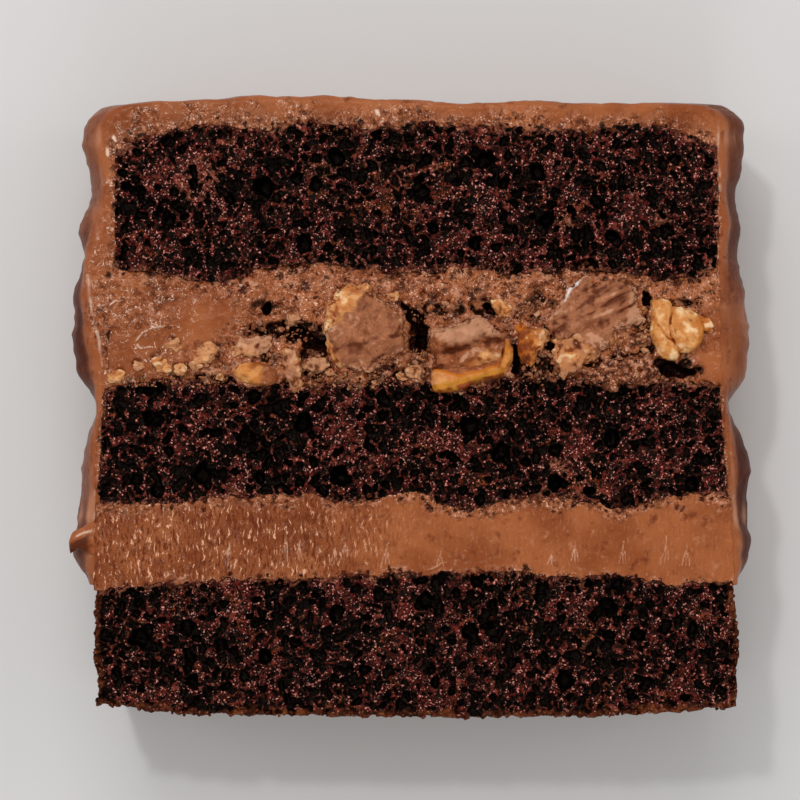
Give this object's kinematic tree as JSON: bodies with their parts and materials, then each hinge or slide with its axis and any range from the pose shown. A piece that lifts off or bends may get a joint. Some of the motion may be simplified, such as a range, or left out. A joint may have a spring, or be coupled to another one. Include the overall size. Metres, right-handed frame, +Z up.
{
  "type": "chocolate cake slice",
  "caption": "Thick slab of layered dark chocolate cake lying on its cut face, with smooth and peanut-studded chocolate frosting between the sponges and a frosting coat outside.",
  "frame": {"origin": "on the table, under the middle of the slice's box", "axes": "+X across the slice, +Y from the cake's base to its frosted top, +Z up out of the front cut face"},
  "size_m": [0.1243, 0.1132, 0.0411],
  "materials": {
    "sponge": "matte",
    "frosting": "satin",
    "chocolate": "satin",
    "peanut": "satin"
  },
  "bodies": {
    "root": {"sponge_lower": "sponge", "filling_smooth": "frosting", "sponge_middle": "sponge", "filling_nutty": "frosting", "sponge_upper": "sponge", "frosting_coat": "frosting", "cluster_left": "chocolate", "cluster_middle": "chocolate", "cluster_right": "chocolate", "split_peanut": "peanut", "amber_nut": "peanut", "half_peanut": "peanut", "nut_flake": "peanut", "chocolate_shard": "chocolate", "crumb_clump": "chocolate"}
  },
  "joints": []
}
